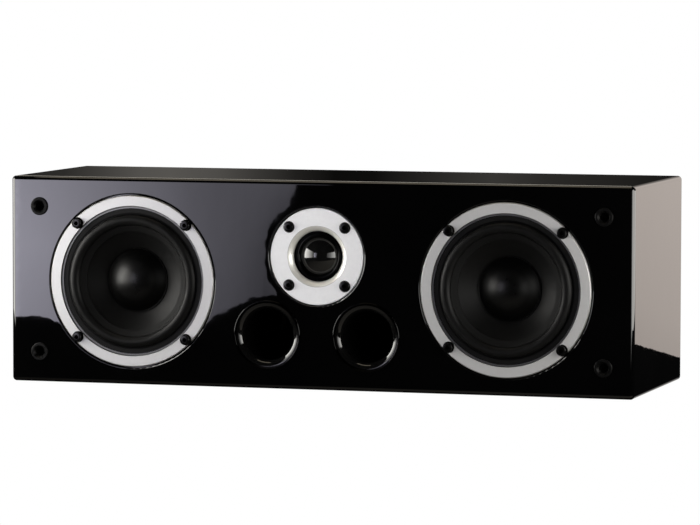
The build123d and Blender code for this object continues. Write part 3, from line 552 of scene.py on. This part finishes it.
def make_cap_screws(node):
    """Cap screws with knurled heads, rounded rims and hex sockets."""
    low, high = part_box(node)
    top = low.y
    shape = bmesh.new()
    for spot in screw_spots(node, CAP_HEAD_R):
        rings = [round_ring(spot, high.y, CAP_SHANK_R, SCREW_STEPS)]
        rings.append(round_ring(spot, top + CAP_HEAD_H, CAP_SHANK_R, SCREW_STEPS))
        for depth in (CAP_HEAD_H, 3 * CAP_ROUND):
            rings.append(ring(spot, top + depth, knurled(CAP_HEAD_R), SCREW_STEPS))
        rings.append(round_ring(spot, top + 2 * CAP_ROUND, CAP_HEAD_R, SCREW_STEPS))
        rings += rim_rings(spot, top, 1, CAP_HEAD_R, CAP_ROUND)
        rings.append(ring(spot, top, hex_edge, SCREW_STEPS))
        rings.append(ring(spot, top + HEX_DEPTH, hex_edge, SCREW_STEPS))
        skin(shape, rings, loop=False, recess=True)
    piece = dress(node.replace("screws", "cap_screws"), shape, ("oxide", "recess"), "black_screw", node)
    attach(piece, "cabinet")


def rim_rings(spot, top, inward, head_r, rounding):
    """Rings round a head's rounded edge, from its side to its top; inward is the way into the head."""
    rings = []
    for i in range(RIM_STEPS + 1):
        turn = math.radians(90 * i / RIM_STEPS)
        radius = head_r - rounding * (1 - math.cos(turn))
        depth = rounding * (1 - math.sin(turn))
        rings.append(round_ring(spot, top + inward * depth, radius, SCREW_STEPS))
    return rings


def make_pan_screws(node):
    """Pan-head screws with cross recesses."""
    low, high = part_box(node)
    top = high.y
    shape = bmesh.new()
    for spot in screw_spots(node, PAN_HEAD_R):
        rings = [round_ring(spot, low.y, PAN_SHANK_R, SCREW_STEPS)]
        rings.append(round_ring(spot, top - PAN_HEAD_H, PAN_SHANK_R, SCREW_STEPS))
        rings.append(round_ring(spot, top - PAN_HEAD_H, PAN_HEAD_R, SCREW_STEPS))
        rings += rim_rings(spot, top, -1, PAN_HEAD_R, PAN_ROUND)
        rings.append(ring(spot, top, cross_edge, SCREW_STEPS))
        rings.append(ring(spot, top - CROSS_DEPTH, cross_edge, SCREW_STEPS))
        skin(shape, rings, loop=False, recess=True)
    piece = dress("terminal_pan_screws", shape, ("oxide", "recess"), "small_screw", node)
    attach(piece, "cabinet")


for side in SIDES:
    make_surround(side)
for driver in ("left_woofer", "right_woofer", "tweeter"):
    make_cap_screws(f"{driver}_screws")
make_pan_screws("terminal_screws")


# Studio: places in metres, and glows as strengths of emission
FLOOR_REACH = 6.0
FLOOR_DROP = 0.0003
WORLD_DIM = 0.003
CARD_COLOURS = {
    "floor": (1, 1, 1),
    "key_card": (0.98, 0.955, 1.12),
    "key_corner": (0.98, 0.955, 1.12),
    "left_wing": (1.02, 1.0, 0.95),
    "right_wing": (1.01, 1.0, 0.97),
    "right_tail": (1.0, 0.97, 0.92),
    "table_card": (1.0, 0.93, 0.80),
    "ceiling_card": (1.0, 0.88, 0.68),
    "rear_card": (1.0, 0.97, 0.93),
    "end_card": (1.0, 0.885, 0.81),
    "corner_card": (1.0, 0.9, 0.83),
    "top_card": (1.0, 0.95, 0.87),
    "back_card": (1.0, 0.93, 0.80),
}

# Soft box at the front left, given by where the front face mirrors it: X with the height of the
# lower edge there, X with the glow halfway up, and X with the glow at the top
KEY_Y = -1.6
KEY_EDGE = [
    (-0.300, 0.047), (-0.2325, 0.0465), (-0.229, 0.0465), (-0.225, 0.0465), (-0.206, 0.0472),
    (-0.197, 0.0445), (-0.188, 0.038), (-0.172, 0.023), (-0.133, 0.016), (-0.095, 0.034),
    (-0.076, 0.052), (-0.062, 0.059), (-0.053, 0.0635), (-0.039, 0.067), (-0.0385, 0.103),
    (-0.035, 0.114), (-0.028, 0.126), (-0.0205, 0.132), (-0.016, 0.143), (0.004, 0.21), (0.008, 0.38),
]
KEY_GLOWS = [
    (-0.2325, 9.5), (-0.229, 7.6), (-0.225, 6.3), (-0.17, 4.4), (-0.126, 2.9), (-0.093, 2.0),
    (-0.06, 1.45), (-0.0385, 1.0), (0.01, 1.0),
]
KEY_TOP_GLOWS = [
    (-0.2325, 8.5), (-0.229, 6.8), (-0.225, 5.6), (-0.18, 4.4), (-0.145, 3.4), (-0.10, 2.1),
    (-0.076, 1.7), (-0.03, 1.5), (0.01, 1.0),
]
KEY_EDGE_SHARE = 0.83
KEY_LEVELS = (0.10, 0.15, 0.38)

# Small corner of the same box: X, lowest and highest height
KEY_CORNER = [
    (-0.039, 0.067, 0.091), (-0.036, 0.067, 0.080), (-0.033, 0.0675, 0.074), (-0.030, 0.068, 0.0685),
]
KEY_CORNER_GLOWS = (0.7, 0.9)

# Upright soft boxes, through stations of X, Y, lowest Z, highest Z and glow
LEFT_WING = [
    (-0.86, -1.65, -0.157, 0.42, 0.2), (-0.62, -0.90, -0.045, 0.37, 1.8),
    (-0.495, -0.485, 0.0, 0.30, 5.8), (-0.43, -0.27, 0.022, 0.265, 10.0),
    (-0.3775, -0.095, 0.041, 0.243, 15.0),
]
RIGHT_WING = [
    (0.86, -1.75, -0.15, 0.40, 0.5), (0.70, -1.10, -0.08, 0.36, 1.3),
    (0.62, -0.75, -0.04, 0.30, 2.1), (0.47, -0.25, 0.025, 0.235, 7.6),
]
RIGHT_TAIL = [
    (0.47, -0.25, 0.025, 0.235, 7.6), (0.483, -0.12, 0.027, 0.235, 8.4),
    (0.487, -0.095, 0.028, 0.15, 6.3), (0.50, 0.05, 0.03, 0.15, 6.5),
    (0.58, 0.45, 0.03, 0.15, 3.4), (0.75, 0.95, 0.03, 0.15, 2.2),
]
REAR_WING = [
    (-1.2, 1.0, -0.5, 0.13, 1.5), (-0.25, 1.0, -0.5, 0.13, 1.5), (0.40, 1.0, -0.5, 0.13, 0.06),
]

# Level cards: two corners, and the glows at the lower and higher X
TABLE_CORNERS = (Vector((-0.7, -0.85, -0.25)), Vector((1.0, -0.16, -0.25)))
TABLE_GLOWS = (0.02, 0.46)
CEILING_CORNERS = (Vector((-0.8, -0.6, 1.7)), Vector((0.2, 0.4, 1.7)))
CEILING_GLOWS = (1.8, 1.8)

# Cards behind: the end card's lower edge is a line through a middle, and the corner card fades along X
END_Y = 1.0
END_SPAN = (0.30, 0.7)
END_MIDDLE = (0.4545, -0.066)
END_SLOPE = 0.27
END_LEVELS = (0.10, 0.9)
END_GLOWS = (1.05, 1.32, 1.32)
CORNER_FADES = ((0.0, 0.05), (0.15, 0.3), (0.30, 0.9))
CORNER_LEVELS = (0.25, 0.9)
TOP_Y = 1.5
TOP_LEVELS = (0.10, 0.45)
TOP_GLOWS = [
    (-0.30, 0.02), (-0.22, 0.034), (-0.19, 0.068), (-0.16, 0.112), (-0.137, 0.122), (-0.10, 0.099),
    (-0.07, 0.053), (-0.04, 0.019), (-0.01, 0.005), (0.02, 0.006), (0.05, 0.019), (0.08, 0.035),
    (0.11, 0.05), (0.15, 0.03), (0.25, 0.012),
]
BACK_Y = 2.2
BACK_HALF_W = 1.5
BACK_LEVELS = (0.7, 2.2)
BACK_GLOW = 1.7


def glow_material(name, colour):
    """Emitting material whose strength is each point's own glow."""
    material = bpy.data.materials.new(name)
    material.use_nodes = True
    tree = material.node_tree
    tree.nodes.clear()
    strength = tree.nodes.new("ShaderNodeAttribute")
    strength.attribute_name = "glow"
    shader = add(tree, "ShaderNodeEmission", Color=(*colour, 1))
    output = tree.nodes.new("ShaderNodeOutputMaterial")
    tree.links.new(strength.outputs["Fac"], shader.inputs["Strength"])
    tree.links.new(shader.outputs["Emission"], output.inputs["Surface"])
    return material


def make_card(name, columns):
    """Soft glowing sheet through columns of points, each given with its glow."""
    tall = len(columns[0])
    spots = [spot for column in columns for spot in column]
    faces = []
    for i in range(len(columns) - 1):
        for j in range(tall - 1):
            corner = i * tall + j
            faces.append((corner, corner + tall, corner + tall + 1, corner + 1))
    mesh = bpy.data.meshes.new(name)
    mesh.from_pydata([point for point, glow in spots], [], faces)
    glows = mesh.attributes.new("glow", "FLOAT", "POINT")
    glows.data.foreach_set("value", [glow for point, glow in spots])
    mesh.materials.append(glow_material(name, CARD_COLOURS[name]))
    card = bpy.data.objects.new(name, mesh)
    scene.collection.objects.link(card)
    card.visible_camera = False
    card.visible_shadow = False
    return card


def make_floor():
    """Plain pale floor, left out of reflections as a dark table would be, and clear from below."""
    ends = (-FLOOR_REACH, FLOOR_REACH)
    columns = [[(Vector((x, y, -FLOOR_DROP)), 1.0) for y in ends] for x in ends]
    floor = make_card("floor", columns)
    floor.visible_camera = True
    floor.visible_glossy = False
    floor.visible_diffuse = False
    tree = floor.data.materials[0].node_tree
    side = tree.nodes.new("ShaderNodeNewGeometry")
    clear = tree.nodes.new("ShaderNodeBsdfTransparent")
    mix = tree.nodes.new("ShaderNodeMixShader")
    tree.links.new(side.outputs["Backfacing"], mix.inputs["Fac"])
    tree.links.new(tree.nodes["Emission"].outputs["Emission"], mix.inputs[1])
    tree.links.new(clear.outputs["BSDF"], mix.inputs[2])
    tree.links.new(mix.outputs["Shader"], tree.nodes["Material Output"].inputs["Surface"])


def make_world():
    """White to the camera, dim to everything else."""
    world = bpy.data.worlds.new("studio")
    scene.world = world
    world.use_nodes = True
    tree = world.node_tree
    tree.nodes.clear()
    path = tree.nodes.new("ShaderNodeLightPath")
    dim = add(tree, "ShaderNodeBackground", Color=(1, 1, 1, 1), Strength=WORLD_DIM)
    white = add(tree, "ShaderNodeBackground", Color=(1, 1, 1, 1), Strength=1.0)
    mix = tree.nodes.new("ShaderNodeMixShader")
    output = tree.nodes.new("ShaderNodeOutputWorld")
    tree.links.new(path.outputs["Is Camera Ray"], mix.inputs["Fac"])
    tree.links.new(dim.outputs["Background"], mix.inputs[1])
    tree.links.new(white.outputs["Background"], mix.inputs[2])
    tree.links.new(mix.outputs["Shader"], output.inputs["Surface"])


def seen_in(axis, plane, target, distance):
    """Point at a distance along Y that the camera sees mirrored at a target on a flat face."""
    mirrored = CAMERA_PLACE.copy()
    mirrored[axis] = 2 * plane - CAMERA_PLACE[axis]
    run = target - mirrored
    return mirrored + run * ((distance - mirrored.y) / run.y)


def along(pairs, x):
    """Value at x on straight lines through pairs of x and value."""
    for (x0, v0), (x1, v1) in zip(pairs, pairs[1:]):
        if x <= x1:
            return v0 + (v1 - v0) * max(x - x0, 0) / (x1 - x0)
    return pairs[-1][1]


def make_key_card():
    """Soft box at the front left, mirrored in the front face down to a curved edge."""
    columns = []
    for x, low in KEY_EDGE:
        glow = along(KEY_GLOWS, x)
        top_glow = along(KEY_TOP_GLOWS, x)
        levels = zip((low, *KEY_LEVELS), (KEY_EDGE_SHARE * glow, glow, top_glow, top_glow))
        columns.append([key_spot(x, max(z, low), level_glow) for z, level_glow in levels])
    make_card("key_card", columns)
    columns = []
    for x, low, high in KEY_CORNER:
        levels = zip((low, high), KEY_CORNER_GLOWS)
        columns.append([key_spot(x, z, level_glow) for z, level_glow in levels])
    make_card("key_corner", columns)


def key_spot(x, z, glow):
    """Point of the key card that is mirrored at a place on the front face, with its glow."""
    return seen_in(1, FRONT_Y, Vector((x, FRONT_Y, z)), KEY_Y), glow


def make_wing(name, stations):
    """Upright soft box near the speaker, through stations of X, Y, lowest Z, highest Z and glow."""
    columns = [[(Vector((x, y, z)), glow) for z in (low, high)] for x, y, low, high, glow in stations]
    make_card(name, columns)


def make_end_card():
    """Card behind at the right: the beige sheet on the cabinet's end, above a slanted line."""
    columns = []
    for x in END_SPAN:
        low = END_MIDDLE[1] + END_SLOPE * (x - END_MIDDLE[0])
        levels = zip((low, *END_LEVELS), END_GLOWS)
        columns.append([(Vector((x, END_Y, z)), glow) for z, glow in levels])
    make_card("end_card", columns)
    columns = [[(Vector((x, END_Y, z)), glow) for z in CORNER_LEVELS] for x, glow in CORNER_FADES]
    make_card("corner_card", columns)


def make_top_card():
    """Dim card far behind: the soft pool of light along the cabinet's top."""
    columns = []
    for x, glow in TOP_GLOWS:
        point = seen_in(2, TOP_Z, Vector((x, 0, TOP_Z)), TOP_Y)
        columns.append([(Vector((point.x, point.y, z)), glow) for z in TOP_LEVELS])
    make_card("top_card", columns)


def make_flat_card(name, low, high, glows):
    """Level card between two corners at one height, with a glow for each end."""
    ends = zip((low.x, high.x), glows)
    columns = [[(Vector((x, y, low.z)), glow) for y in (low.y, high.y)] for x, glow in ends]
    make_card(name, columns)


def make_back_card():
    """High soft box behind, which the front, top and end don't mirror."""
    ends = (-BACK_HALF_W, BACK_HALF_W)
    columns = [[(Vector((x, BACK_Y, z)), BACK_GLOW) for z in BACK_LEVELS] for x in ends]
    make_card("back_card", columns)


def make_camera():
    """Camera where the photograph was taken from."""
    yaw, pitch, roll = CAMERA_YAW, CAMERA_PITCH, CAMERA_ROLL
    ahead = Vector((-math.sin(yaw) * math.cos(pitch), math.cos(yaw) * math.cos(pitch), -math.sin(pitch)))
    level = Vector((math.cos(yaw), math.sin(yaw), 0))
    upright = level.cross(ahead)
    right = math.cos(roll) * level + math.sin(roll) * upright
    up = math.cos(roll) * upright - math.sin(roll) * level
    data = bpy.data.cameras.new("photo_camera")
    data.sensor_width = SENSOR_WIDTH
    data.lens = FOCAL_PIXELS / PHOTO_WIDTH * SENSOR_WIDTH
    data.clip_end = CLIP_END
    camera = bpy.data.objects.new("photo_camera", data)
    turn = Matrix((right, up, -ahead)).transposed().to_4x4()
    camera.matrix_world = Matrix.Translation(CAMERA_PLACE) @ turn
    scene.collection.objects.link(camera)
    scene.camera = camera


make_floor()
make_world()
make_key_card()
make_wing("left_wing", LEFT_WING)
make_wing("right_wing", RIGHT_WING)
make_wing("right_tail", RIGHT_TAIL)
make_flat_card("table_card", *TABLE_CORNERS, TABLE_GLOWS)
make_flat_card("ceiling_card", *CEILING_CORNERS, CEILING_GLOWS)
make_wing("rear_card", REAR_WING)
make_end_card()
make_top_card()
make_back_card()
make_camera()
scene.view_settings.view_transform = "Standard"
